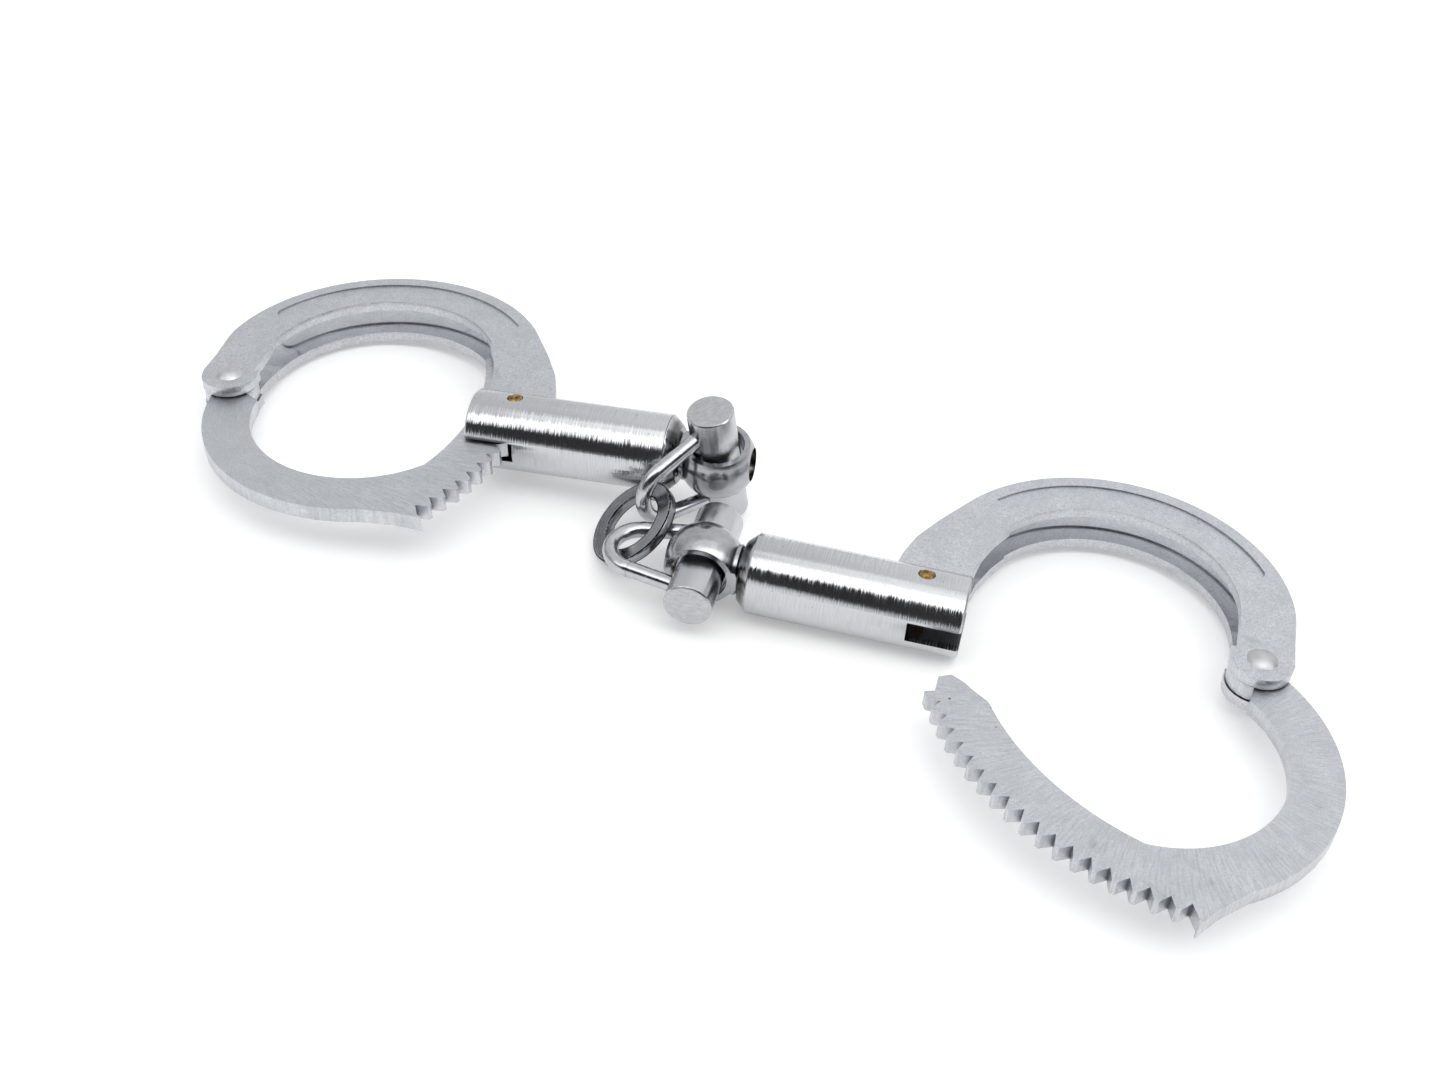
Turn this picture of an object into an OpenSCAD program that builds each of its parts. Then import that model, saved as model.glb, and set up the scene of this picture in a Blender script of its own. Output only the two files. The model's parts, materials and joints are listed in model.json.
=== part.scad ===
// Pair of swivel handcuffs with round lock barrels, toothed swing arms and a single ring between
// two toggle shackles. Millimetres, +Z up, lying on a table at z = 0.

/* [Barrel] */
// Diameter of the round lock barrel
barrel_d = 20; // [16:0.5:26]
// Full-diameter length of the barrel
barrel_len = 52; // [44:0.5:64]
// Length of the cone at the chain end
cone_len = 2.8; // [1:0.1:6]
// Diameter of the small end of the cone
cone_d = 14.6; // [12:0.1:18]
// Depth of the arm slot from the wrist end
slot_depth = 12.9; // [12.5:0.1:16]
// Height of the arm slot
slot_h = 5.5; // [5:0.1:8]
// Bore of the lock chamber
chamber_d = 15; // [13:0.1:16]
// Diameter of the brass pins
brass_d = 3.8; // [2:0.1:5]

/* [Cheek plates] */
// Outer radius of the bow
bow_ro = 44.1; // [38:0.1:52]
// Inner radius of the bow
bow_ri = 31.1; // [26:0.1:36]
// Thickness of each cheek plate
cheek_t = 2.8; // [1.5:0.1:4]
// Depth of the shallow track pressed in each cheek
track_depth = 0.5; // [0.1:0.1:1]
// How far the bow of each cheek stands out beyond its ear and tang
bow_lift = 1.2; // [0:0.1:2]
// Radius of the ears around the rivet
ear_r = 7.3; // [6:0.1:9]

/* [Arm] */
// Thickness of the swinging arm
arm_t = 4; // [3:0.1:6]
// Tip radius of the teeth about the pivot
tooth_r = 81; // [78:0.1:81.5]
// Root radius of the teeth about the pivot
root_r = 78.2; // [76:0.1:79]
// Angle between neighbouring teeth
tooth_pitch = 3.26; // [3:0.01:4]
// Opening of the second arm from the closed angle
arm_b_open = 50.4; // [0:0.1:90]

/* [Pivot] */
// Diameter of the rivet shank
rivet_d = 5; // [3:0.1:7]
// Diameter of the rivet heads
head_d = 7.3; // [6:0.1:9]
// Height of the rivet heads
head_h = 1.5; // [0.8:0.1:2.5]

/* [Chain] */
// Distance from the wrist end of the barrel to the centre of the swivel eye
eye_x = 64.5; // [64.2:0.1:70]
// Diameter of the swivel eye
eye_d = 20; // [18:0.1:21]
// Bore of the eye that the drum turns in
eye_bore = 14; // [13.2:0.1:15]
// Distance of the flats of the eye from its centre
eye_flat = 5.4; // [4.5:0.1:7]
// Diameter of the key way through the eye, in line with the barrel
key_way = 8.5; // [7:0.1:9]
// Diameter of the toggle drum
drum_d = 12; // [10:0.1:12.6]
// Length of the toggle drum
drum_len = 33; // [28:0.1:40]
// Diameter of the shackle wire
wire_d = 4; // [3:0.1:4.5]
// Reach of the shackle from the drum axis to the centre of its bend
shackle_reach = 23.4; // [20:0.1:28]
// Outer radius of the ring
ring_ro = 12.2; // [11:0.1:15]
// Inner radius of the ring
ring_ri = 8; // [7:0.1:9]
// Width of the ring band
ring_w = 2.6; // [2:0.1:2.8]

/* [Hidden] */
$fn = 96;
// whole part moved so that the middle of its footprint is the origin
lay = [0.1382, 18.0077, 0.1543];
barrel_r = barrel_d / 2;
cap_x = barrel_len;
neck_x = barrel_len + cone_len + 0.4;
cheek_z0 = arm_t / 2 + 0.3;
cheek_z1 = cheek_z0 + cheek_t;
// plan of the cuff: pivot, centre of the bow, centres of the arm's inner and outer edges
pivot = [-69.1, 1.45];
bow_c = [-32.5, 14.5];
arm_ci = [-29, -2.8];
arm_ri = 30;
arm_co = [-27.3, -0.7];
arm_ro = 44.6;
bar_ri = 67.4;
first_gap = 27.7;
gap_n = 19;
brass_xy = [10.8, 1.2];
ramp_y0 = 9.5;
ramp_y1 = 20;
// middle of the tooth that faces the bolt when a cuff is closed as arm a
bolt_mesh_y = 1.44;
tang_x0 = 0.3;
tang_y0 = -2.2;
// shackle: two legs that close in towards a round bend
leg_z = 11;
leg_in = 11.6;
bend_x = (shackle_reach - leg_z * cos(leg_in)) / (1 - sin(leg_in));
bend_r = shackle_reach - bend_x;
wire_r = wire_d / 2;
drum_r = drum_d / 2;
// lay of the two cuffs and the chain on the table
cuff_a_at = [-66.1, 23.047, 13.015];
cuff_a_turn = [-2.6, -4, -10.4];
cuff_b_at = [59.22, -32.26, 10.1];
cuff_b_turn = [2.05, -0.18, 169.01];
eye_a_swivel = 9.212;
drum_a_tilt = -4.78;
drum_a_turn = -129.234;
eye_b_swivel = 87.4;
drum_b_turn = 1.3;
ring_at = [-22.3, -6.85, 9.45];
ring_tip = 39.3;
ring_turn = -168.5;

function polar(r, a) = [pivot[0] + r * cos(a), pivot[1] + r * sin(a)];

module wedge(c, a0, a1, r) {
    n = ceil((a1 - a0) / 30);
    translate(c)
        polygon(concat([[0, 0]], [for (i = [0:n]) let (a = a0 + (a1 - a0) * i / n) [r * cos(a), r * sin(a)]]));
}

module along_x(x0, x1, r, r2 = -1) {
    translate([x0, 0, 0])
        rotate([0, 90, 0])
            cylinder(h = x1 - x0, r1 = r, r2 = r2 < 0 ? r : r2);
}

// ---- cuff pieces, in the frame of the barrel: x from the wrist end towards the chain ----

module cheek_plan() {
    difference() {
        union() {
            intersection() {
                translate(bow_c) circle(bow_ro, $fn = 180);
                wedge(bow_c, 31.3, 180.1, 80);
            }
            translate([bow_c[0] - bow_ro, pivot[1]])
                square([bow_ro - bow_ri + 1.6, bow_c[1] - pivot[1] + 0.05]);
            translate(pivot) circle(ear_r);
            polygon([[bow_c[0] + bow_ri * cos(33.5), bow_c[1] + bow_ri * sin(33.5)], [-6.2, 30.2],
                [-3.2, 24.4], [-0.8, 17.5], [0.1, 12], [tang_x0, 8], [tang_x0, tang_y0],
                [15, tang_y0], [19.2, 4], [18.9, 8.6], [17.9, 13], [15.8, 19], [11.3, 27.5],
                [bow_c[0] + bow_ro * cos(31.3), bow_c[1] + bow_ro * sin(31.3)],
                [bow_c[0] + bow_ro * cos(33.5), bow_c[1] + bow_ro * sin(33.5)]]);
        }
        difference() {
            translate(bow_c) circle(bow_ri, $fn = 180);
            translate([-6.2, -20]) square([30, 50.4]);
        }
        translate([bow_c[0] - bow_ri, pivot[1] + 3]) square([10, 12]);
        translate(pivot) circle(r = rivet_d / 2 + 0.02);
        translate(brass_xy) circle(r = brass_d / 2 + 0.02);
    }
}

module track_plan() {
    intersection() {
        translate(bow_c)
            difference() {
                circle(40.7, $fn = 180);
                circle(36, $fn = 180);
            }
        wedge(bow_c, 40, 152, 80);
    }
    translate([bow_c[0] + 38.35 * cos(152), bow_c[1] + 38.35 * sin(152)]) circle(r = 2.35, $fn = 48);
}

// side view of a cheek: flat at ear and tang, then a ramp up to the level of the bow
module cheek_side() {
    rotate([90, 0, 90])
        translate([0, 0, -100])
            linear_extrude(140)
                polygon([[-20, cheek_z0], [ramp_y0, cheek_z0], [ramp_y1, cheek_z0 + bow_lift],
                    [90, cheek_z0 + bow_lift],
                    [90, cheek_z1 + bow_lift], [ramp_y1, cheek_z1 + bow_lift], [ramp_y0, cheek_z1], [-20, cheek_z1]]);
}

module cheek() {
    difference() {
        intersection() {
            translate([0, 0, cheek_z0 - 1]) linear_extrude(cheek_t + bow_lift + 2) cheek_plan();
            cheek_side();
        }
        translate([0, 0, cheek_z1 + bow_lift - track_depth]) linear_extrude(track_depth + 1) track_plan();
    }
    // the back of the pressed track
    translate([0, 0, cheek_z0 + bow_lift - track_depth]) linear_extrude(track_depth + 0.2) track_plan();
}

module arm_plan() {
    difference() {
        union() {
            // toothed bar
            intersection() {
                translate(pivot)
                    difference() {
                        circle(tooth_r, $fn = 240);
                        circle(bar_ri, $fn = 240);
                    }
                wedge(pivot, -31.5, first_gap - 0.6, 120);
            }
            // blunt nose at the free end
            polygon([polar(76, 21), polar(root_r, first_gap), polar(76.7, 30.4),
                polar(73, 30.9), polar(69, 29.5), polar(68.2, 21)]);
            // curved body with the heel behind the last tooth
            difference() {
                union() {
                    difference() {
                        translate(arm_co) circle(arm_ro, $fn = 180);
                        wedge(pivot, -31, 181, 200);
                    }
                    polygon([[-15, -43.6], [-6, -42.9], polar(83.6, -32.6), polar(root_r, -30.98),
                        polar(78, -14), polar(60, -14), polar(50, -32)]);
                }
                intersection() {
                    translate(arm_ci) circle(arm_ri, $fn = 180);
                    translate(pivot) circle(bar_ri, $fn = 240);
                }
            }
            translate(pivot) circle(ear_r - 0.3);
        }
        // inner corner of the nose, cut back
        polygon([polar(62, 22), polar(67, 22.4), polar(68.1, 24.1), polar(69.8, 26.6), polar(71, 28.6),
            polar(72.5, 30), polar(74.1, 31.4), polar(62, 33)]);
        // tooth gaps
        for (k = [1:gap_n - 1])
            translate(pivot) rotate(first_gap - k * tooth_pitch)
                polygon([[root_r, 0], [tooth_r + 0.5, 2.1], [tooth_r + 4, 2.1], [tooth_r + 4, -2.1],
                    [tooth_r + 0.5, -2.1]]);
        translate(pivot) circle(r = rivet_d / 2 + 0.05);
    }
}

module arm() {
    translate([0, 0, -arm_t / 2]) linear_extrude(arm_t) arm_plan();
}

module rivet() {
    cap_r = (head_d * head_d / 4 + head_h * head_h) / (2 * head_h);
    translate(pivot) {
        translate([0, 0, -cheek_z1 - 0.1]) cylinder(h = 2 * cheek_z1 + 0.2, r = rivet_d / 2);
        for (s = [0, 180])
            rotate([s, 0, 0])
                intersection() {
                    translate([0, 0, cheek_z1 + head_h - cap_r]) sphere(cap_r);
                    translate([0, 0, cheek_z1]) cylinder(h = head_h + 1, r = head_d / 2 + 0.5);
                }
    }
}

module barrel() {
    difference() {
        union() {
            along_x(0, 0.5, barrel_r - 0.5, barrel_r);
            along_x(0.5, barrel_len, barrel_r);
        }
        // way of the arm
        translate([-1, -barrel_d, -slot_h / 2]) cube([slot_depth + 1, 2 * barrel_d, slot_h]);
        // seats of the cheek tangs
        for (s = [0, 1])
            mirror([0, 0, s])
                translate([-1, tang_y0 - 0.1, cheek_z0])
                    linear_extrude(cheek_t)
                        polygon([[0, 0], [16.1, 0], [20.4, 6.3], [20.2, 20], [0, 20]]);
        // way of the bolt nose, lock chamber, and spigot bore of the end cap
        translate([slot_depth - 1, -3.3, -2.45]) cube([10, 6.6, 4.9]);
        along_x(21, barrel_len + 1, chamber_d / 2);
        for (s = [0, 180])
            rotate([s, 0, 0])
                translate([brass_xy[0], s == 0 ? brass_xy[1] : -brass_xy[1], 0]) {
                    translate([0, 0, cheek_z0]) cylinder(h = 12, r = brass_d / 2 + 0.02);
                    translate([0, 0, barrel_r - 0.45]) cylinder(h = 2, r1 = brass_d / 2 + 0.02, r2 = brass_d / 2 + 1.6);
                }
    }
}

module brass_pins() {
    for (s = [0, 1])
        mirror([0, 0, s])
            translate([brass_xy[0], brass_xy[1], 0]) {
                translate([0, 0, cheek_z0]) cylinder(h = barrel_r - 0.5 - cheek_z0, r = brass_d / 2);
                intersection() {
                    translate([0, 0, barrel_r - 0.5]) cylinder(h = 2, r = brass_d / 2);
                    translate([0, 0, barrel_r + 0.25 - 3]) sphere(3);
                }
            }
}

module end_cap() {
    difference() {
        union() {
            along_x(cap_x - 6, cap_x + 0.01, chamber_d / 2);
            along_x(cap_x, cap_x + cone_len, barrel_r, cone_d / 2);
        }
        along_x(cap_x - 7, cap_x + 5, 4.85);
    }
}

module latch_bolt() {
    difference() {
        union() {
            translate([12.7, -3, -2.15]) cube([11.5, 6, 4.3]);
            along_x(24.1, 25.6, chamber_d / 2 - 0.4);
            along_x(25.5, 40, 2);
        }
        // the nose fits two gaps of the arm
        for (k = [-1, 0])
            translate([12.6, bolt_mesh_y + k * 4.6, -3]) rotate(-90) translate([-2, 0, 0])
                linear_extrude(6) polygon([[2 - 2, -0.1], [2 + 2, -0.1], [2, 2.4]]);
    }
}

module bolt_spring() {
    turns = 6;
    len = 9;
    translate([26.15, 0, 0])
        rotate([0, 90, 0])
            linear_extrude(height = len, twist = -360 * turns, slices = turns * 20, $fn = 10)
                translate([3.6, 0]) scale([1, 1.0]) circle(r = 0.55, $fn = 10);
}

module spring_seat() {
    difference() {
        along_x(35.8, 38.2, chamber_d / 2 - 0.01);
        along_x(35, 39, 2.3);
    }
}

module swivel_eye() {
    difference() {
        union() {
            translate([eye_x, 0, 0]) sphere(eye_d / 2);
            along_x(42.4, neck_x + 1, 4.8);
            translate([neck_x, 0, 0])
                rotate([0, 90, 0])
                    rotate_extrude()
                        polygon([[0, 0], [5.7, 0], [6.3, 0.5], [6.3, 1.3], [5.9, 2.1], [6.4, 3], [0, 4]]);
        }
        for (s = [-1, 1])
            translate([eye_x, 0, s * (eye_flat + 10)]) cube([40, 40, 20], center = true);
        translate([eye_x, 0, -12]) cylinder(h = 24, r = eye_bore / 2);
        along_x(eye_x, eye_x + 15, key_way / 2);
        along_x(40, eye_x, 3.4);
    }
}

module neck_collar() {
    difference() {
        along_x(42.4, 45.4, 6.6);
        along_x(42, 46, 4.82);
    }
}

// ---- toggle pieces, in the frame of the eye: z along the drum, x along the shackle ----

module toggle_drum() {
    difference() {
        union() {
            translate([0, 0, -drum_len / 2]) cylinder(h = 0.4, r1 = drum_r - 0.4, r2 = drum_r);
            translate([0, 0, 0.4 - drum_len / 2]) cylinder(h = drum_len - 0.8, r = drum_r);
            translate([0, 0, drum_len / 2 - 0.4]) cylinder(h = 0.4, r1 = drum_r, r2 = drum_r - 0.4);
        }
        rotate([90, 0, 0]) cylinder(h = 20, r = 3.5, center = true);
        for (s = [-1, 1])
            translate([0, 0, s * leg_z]) rotate([0, 90 + s * leg_in, 0])
                translate([0, 0, 2]) cylinder(h = 10, r = wire_r + 0.02);
    }
}

module shackle() {
    leg_len = (bend_x + bend_r * sin(leg_in)) / cos(leg_in);
    for (s = [-1, 1])
        translate([0, 0, s * leg_z]) rotate([0, 90 + s * leg_in, 0])
            translate([0, 0, 2.05]) cylinder(h = leg_len - 2.05, r = wire_r, $fn = 48);
    for (s = [-1, 1])
        translate([bend_x + bend_r * sin(leg_in), 0, s * bend_r * cos(leg_in)])
            rotate([0, 90 + s * leg_in, 0])
                cylinder(h = 1, r = wire_r + 0.1, center = true, $fn = 48);
    translate([bend_x, 0, 0])
        rotate([90, 0, 0])
            rotate(-(90 - leg_in))
                rotate_extrude(angle = 180 - 2 * leg_in, $fn = 96)
                    translate([bend_r, 0]) circle(r = wire_r, $fn = 48);
}

module ring_band() {
    rotate_extrude($fn = 120)
        polygon([[ring_ri, -ring_w / 2 + 0.3], [ring_ri + 0.3, -ring_w / 2], [ring_ro - 0.3, -ring_w / 2],
            [ring_ro, -ring_w / 2 + 0.3], [ring_ro, ring_w / 2 - 0.3], [ring_ro - 0.3, ring_w / 2],
            [ring_ri + 0.3, ring_w / 2], [ring_ri, ring_w / 2 - 0.3]]);
}

// ---- places ----

module at_a() {
    translate(lay) translate(cuff_a_at) rotate(cuff_a_turn) children();
}

module at_b() {
    translate(lay) translate(cuff_b_at) rotate(cuff_b_turn) rotate([180, 0, 0]) children();
}

module about_x(a) {
    rotate([a, 0, 0]) children();
}

module at_drum_a() {
    at_a() translate([eye_x, 0, 0]) rotate([eye_a_swivel, 0, 0]) rotate([0, drum_a_tilt, 0])
        rotate([0, 0, drum_a_turn]) children();
}

module at_drum_b() {
    at_b() translate([eye_x, 0, 0]) rotate([eye_b_swivel, 0, 0]) rotate([0, 0, drum_b_turn]) children();
}

module swing(a) {
    translate(pivot) rotate(a) translate([-pivot[0], -pivot[1], 0]) children();
}

module barrel_a() { color("silver") at_a() barrel(); }
module end_cap_a() { color("silver") at_a() end_cap(); }
module upper_cheek_a() { color("gainsboro") at_a() cheek(); }
module lower_cheek_a() { color("gainsboro") at_a() mirror([0, 0, 1]) cheek(); }
module arm_a() { color("lightgray") at_a() arm(); }
module pivot_rivet_a() { color("silver") at_a() rivet(); }
module brass_pins_a() { color("goldenrod") at_a() brass_pins(); }
module latch_bolt_a() { color("dimgray") at_a() latch_bolt(); }
module bolt_spring_a() { color("dimgray") at_a() bolt_spring(); }
module spring_seat_a() { color("gray") at_a() spring_seat(); }
module swivel_eye_a() { color("silver") at_a() about_x(eye_a_swivel) swivel_eye(); }
module neck_collar_a() { color("gray") at_a() neck_collar(); }
module toggle_drum_a() { color("lightgray") at_drum_a() toggle_drum(); }
module shackle_a() { color("silver") at_drum_a() shackle(); }
module ring() {
    color("dimgray") translate(lay) translate(ring_at) rotate([0, 0, ring_turn]) rotate([0, ring_tip, 0])
        ring_band();
}
module shackle_b() { color("silver") at_drum_b() shackle(); }
module toggle_drum_b() { color("lightgray") at_drum_b() toggle_drum(); }
module neck_collar_b() { color("gray") at_b() neck_collar(); }
module swivel_eye_b() { color("silver") at_b() about_x(eye_b_swivel) swivel_eye(); }
module spring_seat_b() { color("gray") at_b() spring_seat(); }
module bolt_spring_b() { color("dimgray") at_b() bolt_spring(); }
module latch_bolt_b() { color("dimgray") at_b() latch_bolt(); }
module brass_pins_b() { color("goldenrod") at_b() brass_pins(); }
module pivot_rivet_b() { color("silver") at_b() rivet(); }
module arm_b() { color("lightgray") at_b() swing(-arm_b_open) arm(); }
module lower_cheek_b() { color("gainsboro") at_b() mirror([0, 0, 1]) cheek(); }
module upper_cheek_b() { color("gainsboro") at_b() cheek(); }
module end_cap_b() { color("silver") at_b() end_cap(); }
module barrel_b() { color("silver") at_b() barrel(); }

barrel_a();
end_cap_a();
upper_cheek_a();
lower_cheek_a();
arm_a();
pivot_rivet_a();
brass_pins_a();
latch_bolt_a();
bolt_spring_a();
spring_seat_a();
swivel_eye_a();
neck_collar_a();
toggle_drum_a();
shackle_a();
ring();
shackle_b();
toggle_drum_b();
neck_collar_b();
swivel_eye_b();
spring_seat_b();
bolt_spring_b();
latch_bolt_b();
brass_pins_b();
pivot_rivet_b();
arm_b();
lower_cheek_b();
upper_cheek_b();
end_cap_b();
barrel_b();
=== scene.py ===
"""Looks of a pair of swivel handcuffs: materials, edge rounding, surface marks, light and camera."""

import json
import math

import bpy
import numpy as np
from mathutils import Matrix, Vector

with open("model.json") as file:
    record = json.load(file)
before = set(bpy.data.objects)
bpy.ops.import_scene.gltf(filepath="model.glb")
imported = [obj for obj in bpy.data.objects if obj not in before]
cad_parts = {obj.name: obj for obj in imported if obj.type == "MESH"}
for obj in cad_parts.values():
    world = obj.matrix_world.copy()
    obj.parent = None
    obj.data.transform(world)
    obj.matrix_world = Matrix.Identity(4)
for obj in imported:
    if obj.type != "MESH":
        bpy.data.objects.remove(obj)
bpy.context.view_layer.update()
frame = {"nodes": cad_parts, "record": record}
nodes = frame["nodes"]
joints = {j["name"]: j for j in frame["record"]["behaviour"]["joints"]}

EYE_X = 0.0645        # m, from the barrel's slotted end to the eye's centre
BORE_SHADE_R = 9.85         # mm, just inside the barrel's outer face: everything nearer the axis gets painted shade
BALL_BORE_R = 6.75    # mm, the eye's hole for the drum, with its rounded rim
KEY_HOLE_R = 4.45     # mm, the eye's round key hole, with its rim
DRUM_END = 16.4       # mm, from the drum's middle to just short of its end faces
CUTTER = (14.0, -30.0)  # mm, middle of the milling arcs from the pivot


# ---------------------------------------------------------------- local frames
def axes_at(origin, x, z):
    x = Vector(x).normalized()
    z = Vector(z).normalized()
    y = z.cross(x).normalized()
    z = x.cross(y).normalized()
    return Matrix.Translation(origin) @ Matrix((x, y, z)).transposed().to_4x4()


def cuff_frame(swivel, swing, way=1):
    """Origin at the slotted end on the barrel's axis, +X along it to the eye, +Z square to the plates.

    way is -1 where the joint's axis points from the eye to the cuff.
    """
    x = Vector(joints[swivel]["axis"]).normalized() * way
    at = Vector(joints[swivel]["pos_m"]) - x * EYE_X
    return axes_at(at, x, joints[swing]["axis"])


def drum_frame(turn, apex):
    """Origin at the drum's middle, +Z along the drum, +X towards the shackle's bend."""
    at = Vector(joints[turn]["pos_m"])
    z = Vector(joints[turn]["axis"]).normalized()
    x = Vector(joints[apex]["pos_m"]) - at
    x = x - z * x.dot(z)
    return axes_at(at, x, z)


def flat_frame(node):
    """Middle of a flat round piece, +Z square to it."""
    co = np.array([v.co for v in nodes[node].data.vertices], float)
    mid = co.mean(0)
    turn = np.linalg.svd(co - mid, full_matrices=False)[2]
    return axes_at(Vector(mid), Vector(turn[0]), Vector(turn[2]))


CUFF = {
    "a": cuff_frame("cuff_a_swivel", "arm_a_swing", -1),
    "b": cuff_frame("cuff_b_swivel", "arm_b_swing"),
}
DRUM = {
    "a": drum_frame("toggle_a_turn", "ring_on_shackle_a"),
    "b": drum_frame("eye_b_turn", "shackle_b_on_ring"),
}
RING = flat_frame("ring")


# ---------------------------------------------------------------- node helpers
class Nodes:
    """Short way to write a node tree."""

    def __init__(self, tree):
        self.tree = tree

    def add(self, kind, **values):
        n = self.tree.nodes.new(kind)
        for k, v in values.items():
            setattr(n, k, v)
        return n

    def link(self, a, b):
        self.tree.links.new(a, b)

    def put(self, socket, value):
        if hasattr(value, "links"):
            self.link(value, socket)
        else:
            socket.default_value = value

    def math(self, op, a, b=0.0, c=None, clamp=False):
        n = self.add("ShaderNodeMath", operation=op, use_clamp=clamp)
        self.put(n.inputs[0], a)
        self.put(n.inputs[1], b)
        if c is not None:
            self.put(n.inputs[2], c)
        return n.outputs[0]

    def local(self, place):
        """Coordinates of the piece's own frame, in millimetres."""
        tc = self.add("ShaderNodeTexCoord")
        m = self.add("ShaderNodeMapping", vector_type="TEXTURE")
        self.link(tc.outputs["Object"], m.inputs["Vector"])
        m.inputs["Location"].default_value = place.to_translation()
        m.inputs["Rotation"].default_value = place.to_euler()
        m.inputs["Scale"].default_value = (0.001, 0.001, 0.001)
        return m.outputs["Vector"]

    def stretch(self, vec, scale, shift=(0, 0, 0), turn=(0, 0, 0)):
        m = self.add("ShaderNodeMapping", vector_type="POINT")
        self.link(vec, m.inputs["Vector"])
        m.inputs["Location"].default_value = shift
        m.inputs["Rotation"].default_value = turn
        m.inputs["Scale"].default_value = scale
        return m.outputs["Vector"]

    def noise(self, vec, scale=1.0, detail=3.0, rough=0.5, warp=0.0):
        n = self.add("ShaderNodeTexNoise")
        self.link(vec, n.inputs["Vector"])
        n.inputs["Scale"].default_value = scale
        n.inputs["Detail"].default_value = detail
        n.inputs["Roughness"].default_value = rough
        n.inputs["Distortion"].default_value = warp
        return n.outputs[0]

    def cells(self, vec, scale=1.0, feature="F1", spread=1.0):
        n = self.add("ShaderNodeTexVoronoi", feature=feature)
        self.link(vec, n.inputs["Vector"])
        n.inputs["Scale"].default_value = scale
        n.inputs["Randomness"].default_value = spread
        return n.outputs["Distance"], n.outputs.get("Color")

    def ramp(self, fac, stops, mode="LINEAR"):
        n = self.add("ShaderNodeValToRGB")
        n.color_ramp.interpolation = mode
        e = n.color_ramp.elements
        while len(e) < len(stops):
            e.new(0.5)
        for k, (pos, col) in enumerate(stops):
            e[k].position = pos
            e[k].color = col if len(col) == 4 else (*col, 1)
        self.link(fac, n.inputs[0])
        return n.outputs[0]

    def span(self, value, a, b, lo=0.0, hi=1.0, smooth=False):
        n = self.add("ShaderNodeMapRange", clamp=True)
        if smooth:
            n.interpolation_type = "SMOOTHSTEP"
        self.put(n.inputs[0], value)
        for k, v in enumerate((a, b, lo, hi)):
            self.put(n.inputs[k + 1], v)
        return n.outputs[0]

    def mix(self, fac, a, b, mode="MIX"):
        n = self.add("ShaderNodeMix", data_type="RGBA", blend_type=mode)
        self.put(n.inputs["Factor"], fac)
        for s, v in ((n.inputs[6], a), (n.inputs[7], b)):
            self.put(s, v if hasattr(v, "links") or len(v) == 4 else (*v, 1))
        return n.outputs[2]

    def axis(self, vec):
        s = self.add("ShaderNodeSeparateXYZ")
        self.link(vec, s.inputs[0])
        return s.outputs

    def join(self, x, y, z):
        s = self.add("ShaderNodeCombineXYZ")
        for k, v in enumerate((x, y, z)):
            self.put(s.inputs[k], v)
        return s.outputs[0]

    def bump(self, height, depth, normal=None):
        """depth is the height in metres of a full step of the height input."""
        n = self.add("ShaderNodeBump")
        n.inputs["Strength"].default_value = 1.0
        n.inputs["Distance"].default_value = depth
        self.link(height, n.inputs["Height"])
        if normal is not None:
            self.link(normal, n.inputs["Normal"])
        return n.outputs[0]


def metal(name, tint, rough):
    m = bpy.data.materials.new(name)
    m.use_nodes = True
    t = Nodes(m.node_tree)
    bsdf = m.node_tree.nodes["Principled BSDF"]
    bsdf.inputs["Metallic"].default_value = 1.0
    bsdf.inputs["Base Color"].default_value = (*tint, 1)
    bsdf.inputs["Roughness"].default_value = rough
    return m, t, bsdf


def specks(t, vec, per_mm, share, size=0.5):
    """1 on scattered small dots, 0 elsewhere. share is how many of the cells hold a dot."""
    dist, tone = t.cells(vec, per_mm)
    pick = t.axis(tone)[0]
    here = t.math("LESS_THAN", pick, share)
    dot = t.span(dist, size * 0.6, size, 1.0, 0.0, True)
    return t.math("MULTIPLY", here, dot)


def radius(t, a, b):
    """Distance from an axis, from the two coordinates square to it."""
    return t.math("SQRT", t.math("ADD", t.math("POWER", a, 2.0), t.math("POWER", b, 2.0)))


def dim(tint, *by):
    """A tint with its channels multiplied by the given factor or factors."""
    by = by * 3 if len(by) == 1 else by
    return tuple(c * k for c, k in zip(tint, by))


def painted_crease_shade(t, shade, reach=0.0016, dark=(0.05, 0.05, 0.055), most=0.6):
    """Painted shade: darker where two faces meet at an inner corner."""
    ao = t.add("ShaderNodeAmbientOcclusion", samples=6)
    ao.inputs["Distance"].default_value = reach
    return t.mix(t.span(ao.outputs["AO"], 0.85, 0.25, 0.0, most), shade, dark)


# ---------------------------------------------------------------- materials
def ringwise(t, place, amount, shift):
    """Normal turned round the barrel's axis by shift, a 0..1 input that changes from ring to ring."""
    geo = t.add("ShaderNodeNewGeometry")
    axis = place.to_3x3() @ Vector((1, 0, 0))
    side = t.add("ShaderNodeVectorMath", operation="CROSS_PRODUCT")
    side.inputs[0].default_value = axis
    t.link(geo.outputs["Normal"], side.inputs[1])
    lean = t.add("ShaderNodeVectorMath", operation="SCALE")
    t.link(side.outputs[0], lean.inputs[0])
    t.link(t.math("MULTIPLY", t.math("SUBTRACT", shift, 0.5), amount), lean.inputs["Scale"])
    total = t.add("ShaderNodeVectorMath", operation="ADD")
    t.link(geo.outputs["Normal"], total.inputs[0])
    t.link(lean.outputs[0], total.inputs[1])
    unit = t.add("ShaderNodeVectorMath", operation="NORMALIZE")
    t.link(total.outputs[0], unit.inputs[0])
    return unit.outputs[0]


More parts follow.
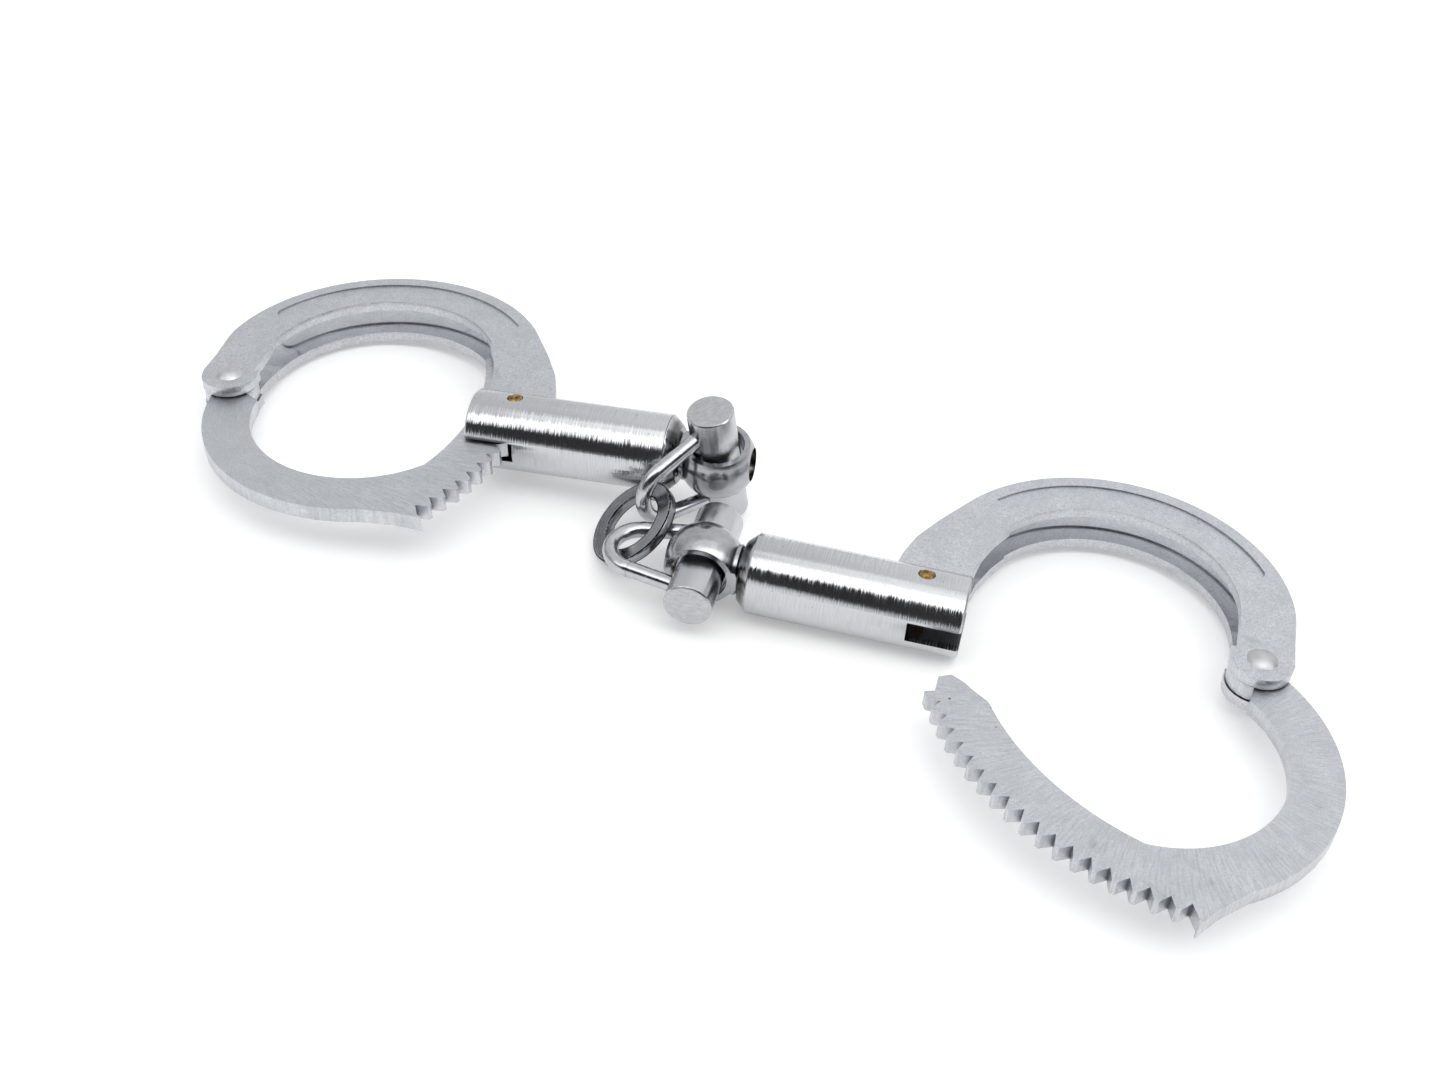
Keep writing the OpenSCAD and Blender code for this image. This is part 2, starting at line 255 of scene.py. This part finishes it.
def turned(name, place, tint=(0.60, 0.605, 0.62)):
    """Bright plating over a turned round bar: fine rings round the barrel's axis."""
    m, t, bsdf = metal(name, tint, 0.16)
    v = t.local(place)
    x, y, z = t.axis(v)
    angle = t.math("ARCTAN2", z, y)
    rings = t.noise(t.join(t.math("MULTIPLY", x, 3.4), t.math("MULTIPLY", angle, 1.1), 0.0), 1.0, 5.0, 0.72)
    fine = t.noise(t.join(t.math("MULTIPLY", x, 26.0), t.math("MULTIPLY", angle, 7.0), 3.0), 1.0, 2.0, 0.6)
    cloud = t.noise(v, 0.22, 3.0, 0.6)
    dots = specks(t, v, 0.9, 0.05, 0.16)
    both = t.math("ADD", t.math("MULTIPLY", rings, 0.6), t.math("MULTIPLY", fine, 0.4))
    t.link(t.span(both, 0.3, 0.7, 0.10, 0.20), bsdf.inputs["Roughness"])
    shade = t.mix(t.span(rings, 0.35, 0.65), dim(tint, 0.82), tint)
    shade = t.mix(t.span(cloud, 0.35, 0.7, 0.0, 0.25), shade, dim(tint, 0.8))
    shade = t.mix(t.math("MULTIPLY", dots, 0.7), shade, (0.12, 0.11, 0.10))
    # painted shade: near black on the bore and on all else nearer the barrel's axis than its outer face
    depth = radius(t, y, z)
    shade = t.mix(t.span(depth, BORE_SHADE_R, BORE_SHADE_R - 1.25, 0.0, 0.8), shade, (0.05, 0.045, 0.04))
    # painted shade darkens the inner corners
    t.link(painted_crease_shade(t, shade), bsdf.inputs["Base Color"])
    t.link(t.bump(both, 0.000010, ringwise(t, place, 0.55, rings)), bsdf.inputs["Normal"])
    return m


def plate(name, place, swing, tint=(0.60, 0.615, 0.64), mill=0.0):
    """Satin plated plate: fine grain, scratches, a few dark specks; mill adds a cutter's arcs."""
    m, t, bsdf = metal(name, tint, 0.34)
    v = t.local(place)
    x, y, z = t.axis(v)
    grain = t.noise(v, 1.5, 5.0, 0.8)
    fine = t.noise(v, 4.0, 3.0, 0.75)
    cloud = t.noise(v, 0.13, 4.0, 0.6, 0.4)
    hair = t.noise(t.stretch(v, (0.35, 7.0, 1.0), turn=(0, 0, 0.7)), 1.0, 3.0, 0.7, 0.3)
    hair2 = t.noise(t.stretch(v, (6.0, 0.3, 1.0), turn=(0, 0, 0.35)), 1.0, 3.0, 0.7, 0.3)
    marks = t.math("MAXIMUM", t.span(hair, 0.60, 0.72), t.span(hair2, 0.61, 0.74))
    height = t.math("ADD", t.math("MULTIPLY", grain, 0.6), t.math("MULTIPLY", fine, 0.3))
    height = t.math("SUBTRACT", height, t.math("MULTIPLY", marks, 0.5))
    both = t.math("ADD", t.math("MULTIPLY", fine, 0.5), t.math("MULTIPLY", grain, 0.5))
    tone = t.span(both, 0.36, 0.62)
    if mill:
        # arcs left by a round cutter as the plate passed under it
        hub = place.inverted() @ Vector(joints[swing]["pos_m"]) * 1000
        across = t.math("SUBTRACT", x, hub[0] + CUTTER[0])
        along = t.math("SUBTRACT", y, hub[1] + CUTTER[1])
        r = radius(t, across, along)
        turn = t.math("ARCTAN2", along, across)
        wob = t.noise(v, 0.06, 2.0, 0.5)
        sweep = t.math("ADD", t.math("MULTIPLY", turn, 75.0), t.math("MULTIPLY", r, 0.22))
        swept = t.math("ADD", sweep, t.math("MULTIPLY", wob, 3.0))
        arcs = t.noise(t.join(swept, t.math("MULTIPLY", r, 0.16), 0.0), 1.0, 3.0, 0.7)
        height = t.math("ADD", height, t.math("MULTIPLY", arcs, mill))
        cuts = t.math("MULTIPLY", t.span(arcs, 0.36, 0.62), 0.35)
        tone = t.math("ADD", t.math("MULTIPLY", tone, 0.65), cuts)
    t.link(t.bump(height, 0.000045), bsdf.inputs["Normal"])
    rough = t.math("ADD", t.span(grain, 0.3, 0.7, 0.27, 0.38), t.span(cloud, 0.35, 0.65, -0.02, 0.03))
    t.link(rough, bsdf.inputs["Roughness"])
    dark = dim(tint, 0.64, 0.65, 0.665)
    shade = t.mix(tone, dark, dim(tint, 1.2))
    shade = t.mix(t.span(cloud, 0.35, 0.65, 0.0, 0.25), shade, dark)
    shade = t.mix(t.math("MULTIPLY", marks, 0.4), shade, (0.92, 0.92, 0.94))
    smear = t.math("MULTIPLY", t.span(t.noise(v, 0.09, 3.0, 0.6, 0.5), 0.66, 0.74), t.span(grain, 0.42, 0.6))
    large = specks(t, t.stretch(v, (1, 1, 1), (7, 3, 1)), 0.16, 0.05, 0.07)
    dots = t.math("MAXIMUM", specks(t, v, 0.5, 0.03, 0.12), large)
    dirt = t.math("MAXIMUM", dots, t.math("MULTIPLY", smear, 0.6))
    shade = t.mix(t.math("MULTIPLY", dirt, 0.75), shade, (0.07, 0.065, 0.06))
    # painted shade darkens the inner corners
    t.link(painted_crease_shade(t, shade), bsdf.inputs["Base Color"])
    return m


def polished(name, place, tint=(0.42, 0.425, 0.44), rough=0.15, bore=None):
    """Rumbled and plated small parts: smooth, slightly uneven."""
    m, t, bsdf = metal(name, tint, rough)
    v = t.local(place)
    wave = t.noise(v, 0.45, 3.0, 0.55, 0.3)
    grain = t.noise(v, 5.0, 3.0, 0.6)
    height = t.math("ADD", t.math("MULTIPLY", wave, 1.0), t.math("MULTIPLY", grain, 0.06))
    t.link(t.bump(height, 0.00006), bsdf.inputs["Normal"])
    uneven = t.math("ADD", wave, t.math("MULTIPLY", grain, 0.4))
    t.link(t.span(uneven, 0.45, 0.95, rough * 0.7, rough * 1.7), bsdf.inputs["Roughness"])
    dots = specks(t, v, 0.8, 0.05, 0.16)
    shade = t.mix(t.span(wave, 0.35, 0.65), dim(tint, 0.85, 0.85, 0.86), tint)
    shade = t.mix(t.math("MULTIPLY", dots, 0.6), shade, (0.09, 0.08, 0.07))
    if bore is not None:
        # brown bare metal in the drum's hole and in the key hole
        a, b, _ = t.axis(t.local(bore))
        reach = radius(t, a, b)
        shade = t.mix(t.span(reach, BALL_BORE_R, BALL_BORE_R - 0.45, 0.0, 0.85), shade, (0.13, 0.085, 0.05))
        _, y, z = t.axis(v)
        side = radius(t, y, z)
        shade = t.mix(t.span(side, KEY_HOLE_R, KEY_HOLE_R - 0.25, 0.0, 0.85), shade, (0.11, 0.07, 0.045))
    # painted shade darkens the inner corners
    t.link(painted_crease_shade(t, shade, 0.001), bsdf.inputs["Base Color"])
    return m


def drum(name, place, tint=(0.50, 0.505, 0.52)):
    """Turned sides with a little wear, ends ground flat with straight scratches."""
    m, t, bsdf = metal(name, tint, 0.25)
    v = t.local(place)
    x, y, z = t.axis(v)
    end = t.math("GREATER_THAN", t.math("ABSOLUTE", z), DRUM_END)
    angle = t.math("ARCTAN2", y, x)
    rings = t.noise(t.join(t.math("MULTIPLY", z, 8.0), t.math("MULTIPLY", angle, 1.6), 0.0), 1.0, 4.0, 0.65)
    grind = t.noise(t.stretch(v, (0.6, 9.0, 1.0), turn=(0, 0, 0.9)), 1.0, 4.0, 0.7, 0.15)
    grind2 = t.noise(t.stretch(v, (11.0, 0.5, 1.0), turn=(0, 0, 0.25)), 1.0, 3.0, 0.7, 0.15)
    cuts = t.math("ADD", t.math("MULTIPLY", grind, 0.6), t.math("MULTIPLY", grind2, 0.5))
    sides = t.math("MULTIPLY", rings, t.math("SUBTRACT", 0.4, t.math("MULTIPLY", end, 0.4)))
    height = t.math("ADD", sides, t.math("MULTIPLY", cuts, end))
    t.link(t.bump(height, 0.00006), bsdf.inputs["Normal"])
    rough = t.math("ADD", t.span(rings, 0.3, 0.7, 0.17, 0.27), t.math("MULTIPLY", end, 0.2))
    t.link(rough, bsdf.inputs["Roughness"])
    ground = t.mix(t.span(grind, 0.35, 0.65), (0.36, 0.365, 0.375), (0.62, 0.63, 0.65))
    shade = t.mix(end, tint, ground)
    scar = t.math("MULTIPLY", t.span(grind2, 0.58, 0.68), end)
    shade = t.mix(t.math("MULTIPLY", scar, 0.55), shade, (0.2, 0.2, 0.2))
    t.link(shade, bsdf.inputs["Base Color"])
    return m


def flatband(name, place, tint=(0.34, 0.35, 0.375)):
    """The ring: flat band with fine lines running round it."""
    m, t, bsdf = metal(name, tint, 0.24)
    v = t.local(place)
    x, y, z = t.axis(v)
    angle = t.math("ARCTAN2", y, x)
    r = radius(t, x, y)
    round_band = t.join(t.math("MULTIPLY", r, 5.0), t.math("MULTIPLY", angle, 2.0), t.math("MULTIPLY", z, 5.0))
    lines = t.noise(round_band, 1.0, 4.0, 0.65)
    t.link(t.bump(lines, 0.00002), bsdf.inputs["Normal"])
    t.link(t.span(lines, 0.3, 0.7, 0.17, 0.30), bsdf.inputs["Roughness"])
    shade = t.mix(t.span(lines, 0.4, 0.6), dim(tint, 0.85), tint)
    t.link(shade, bsdf.inputs["Base Color"])
    return m


def brass(name, place):
    """Peened pin heads, brown in the hollows, with painted shade in the inner corners round them."""
    m, t, bsdf = metal(name, (0.62, 0.40, 0.16), 0.28)
    v = t.local(place)
    lump = t.noise(v, 0.9, 3.0, 0.6)
    t.link(t.bump(lump, 0.00009), bsdf.inputs["Normal"])
    shade = t.mix(t.span(lump, 0.4, 0.62), (0.12, 0.07, 0.03), (0.42, 0.27, 0.10))
    # painted shade, dark brown, in the inner corners round the pin heads
    t.link(painted_crease_shade(t, shade, 0.0012, (0.06, 0.035, 0.015), 0.85), bsdf.inputs["Base Color"])
    t.link(t.span(lump, 0.3, 0.7, 0.38, 0.2), bsdf.inputs["Roughness"])
    return m


def machined(name, place, tint=(0.30, 0.30, 0.31)):
    """Parts inside the lock: plain cut steel."""
    m, t, bsdf = metal(name, tint, 0.35)
    v = t.local(place)
    lines = t.noise(t.stretch(v, (1.0, 6.0, 6.0)), 1.0, 3.0, 0.6)
    t.link(t.bump(lines, 0.00003), bsdf.inputs["Normal"])
    t.link(t.span(lines, 0.3, 0.7, 0.28, 0.42), bsdf.inputs["Roughness"])
    t.link(t.mix(lines, dim(tint, 0.7), tint), bsdf.inputs["Base Color"])
    return m


def dress(node, material):
    o = nodes[node]
    o.data.materials.clear()
    o.data.materials.append(material)


for s in "ab":
    place = CUFF[s]
    body = turned(f"turned_steel_{s}", place)
    flat = plate(f"plated_cheek_{s}", place, f"arm_{s}_swing")
    bow = plate(f"plated_arm_{s}", place, f"arm_{s}_swing", (0.585, 0.60, 0.625), 0.8)
    dress(f"barrel_{s}", body)
    dress(f"end_cap_{s}", body)
    dress(f"upper_cheek_{s}", flat)
    dress(f"lower_cheek_{s}", flat)
    dress(f"arm_{s}", bow)
    dress(f"pivot_rivet_{s}", polished(f"rivet_steel_{s}", place, (0.56, 0.565, 0.58), 0.36))
    dress(f"brass_pins_{s}", brass(f"brass_{s}", place))
    lock = machined(f"lock_steel_{s}", place)
    for k in ("latch_bolt", "bolt_spring", "spring_seat", "neck_collar"):
        dress(f"{k}_{s}", lock)
    dress(f"swivel_eye_{s}", polished(f"polished_steel_{s}", place, bore=DRUM[s]))
    dress(f"toggle_drum_{s}", drum(f"drum_steel_{s}", DRUM[s]))
    dress(f"shackle_{s}", polished(f"shackle_steel_{s}", DRUM[s], (0.53, 0.54, 0.56), 0.15))
dress("ring", flatband("ring_steel", RING))


# ---------------------------------------------------------------- edges
def soften(node, width, angle=32, segments=2):
    """Rounds the sharp edges of a piece; width in metres."""
    o = nodes[node]
    w = o.modifiers.new("weld", "WELD")
    w.merge_threshold = 0.000002
    b = o.modifiers.new("edge", "BEVEL")
    b.width = width
    b.segments = segments
    b.limit_method = "ANGLE"
    b.angle_limit = math.radians(angle)
    b.harden_normals = True
    b.use_clamp_overlap = True
    b.miter_outer = "MITER_ARC"


for s in "ab":
    for k in ("upper_cheek", "lower_cheek", "arm"):
        soften(f"{k}_{s}", 0.0006)
    soften(f"toggle_drum_{s}", 0.0004)
    soften(f"end_cap_{s}", 0.0003)
    soften(f"barrel_{s}", 0.00035)
soften("ring", 0.0004)


# ---------------------------------------------------------------- camera
LOOK_DOWN = math.radians(40.8)
ROLL = math.radians(4.54)
AWAY = 0.48577
AIM = Vector((0.000138, 0.018008, 0.000154))
look = Vector((0, math.cos(LOOK_DOWN), -math.sin(LOOK_DOWN)))
right = Vector((1, 0, 0))
up = Vector((0, math.sin(LOOK_DOWN), math.cos(LOOK_DOWN)))
right2 = right * math.cos(ROLL) + up * math.sin(ROLL)
up2 = up * math.cos(ROLL) - right * math.sin(ROLL)
cam_data = bpy.data.cameras.new("camera")
cam_data.sensor_width = 36.0
cam_data.lens = 47.44
cam_data.clip_start = 0.01
cam_data.clip_end = 20.0
cam = bpy.data.objects.new("camera", cam_data)
cam.matrix_world = Matrix.Translation(AIM - look * AWAY) @ Matrix((right2, up2, -look)).transposed().to_4x4()
bpy.context.scene.collection.objects.link(cam)
bpy.context.scene.camera = cam


# ---------------------------------------------------------------- floor
def make_floor():
    size, z = 4.0, 0.0
    me = bpy.data.meshes.new("floor")
    me.from_pydata([(-size, -size, z), (size, -size, z), (size, size, z), (-size, size, z)], [], [(0, 1, 2, 3)])
    o = bpy.data.objects.new("floor", me)
    bpy.context.scene.collection.objects.link(o)
    m = bpy.data.materials.new("table")
    m.use_nodes = True
    t = Nodes(m.node_tree)
    b = m.node_tree.nodes["Principled BSDF"]
    b.inputs["Base Color"].default_value = (0.84, 0.84, 0.84, 1)
    b.inputs["Roughness"].default_value = 0.7
    b.inputs["Specular IOR Level"].default_value = 0.2
    b.inputs["Emission Color"].default_value = (1, 1, 1, 1)
    b.inputs["Emission Strength"].default_value = 0.28
    me.materials.append(m)


make_floor()


# ---------------------------------------------------------------- light
def softbox(name, at, to, w, h, power, colour=(1, 1, 1)):
    d = bpy.data.lights.new(name, "AREA")
    d.shape = "RECTANGLE"
    d.size = w
    d.size_y = h
    d.energy = power
    d.color = colour
    o = bpy.data.objects.new(name, d)
    o.location = at
    o.rotation_euler = (Vector(to) - Vector(at)).to_track_quat("-Z", "Y").to_euler()
    bpy.context.scene.collection.objects.link(o)
    return o


softbox("overhead", (0.0, -0.08, 1.3), (0, 0, 0), 1.5, 0.9, 1.6)


def studio():
    """White room seen in the metal: grey behind, a bright band overhead, a dark side in front."""
    w = bpy.data.worlds.new("studio")
    bpy.context.scene.world = w
    w.use_nodes = True
    t = Nodes(w.node_tree)
    x, y, z = t.axis(t.add("ShaderNodeTexCoord").outputs["Generated"])
    angle = t.math("DIVIDE", t.math("ARCTAN2", z, y), math.pi)
    # position is the angle from the back horizon, over the top, to the front horizon
    band = t.ramp(angle, [
        (0.0, (0.80, 0.81, 0.83)),
        (0.30, (0.86, 0.87, 0.88)),
        (0.37, (0.80, 0.81, 0.82)),
        (0.42, (0.98, 0.98, 0.98)),
        (0.52, (0.98, 0.98, 0.98)),
        (0.56, (2.2, 2.2, 2.2)),
        (0.66, (2.2, 2.2, 2.2)),
        (0.71, (0.035, 0.035, 0.037)),
        (1.0, (0.05, 0.05, 0.055)),
    ])
    ends = t.span(t.math("ABSOLUTE", x), 0.72, 0.96, 0.0, 1.0, True)
    # the room is a little brighter to the right
    gain = t.span(x, -0.30, 0.32, 0.97, 1.24)
    band = t.mix(1.0, band, t.join(gain, gain, gain), "MULTIPLY")
    room = t.mix(ends, band, (0.42, 0.43, 0.45))
    room = t.mix(t.span(z, 0.10, 0.19, 1.0, 0.0), room, (0.96, 0.96, 0.96))
    t.link(room, w.node_tree.nodes["Background"].inputs["Color"])
    w.node_tree.nodes["Background"].inputs["Strength"].default_value = 1.0


studio()

view = bpy.context.scene.view_settings
view.view_transform = "Standard"
view.look = "None"
view.exposure = 0.0
view.gamma = 1.0
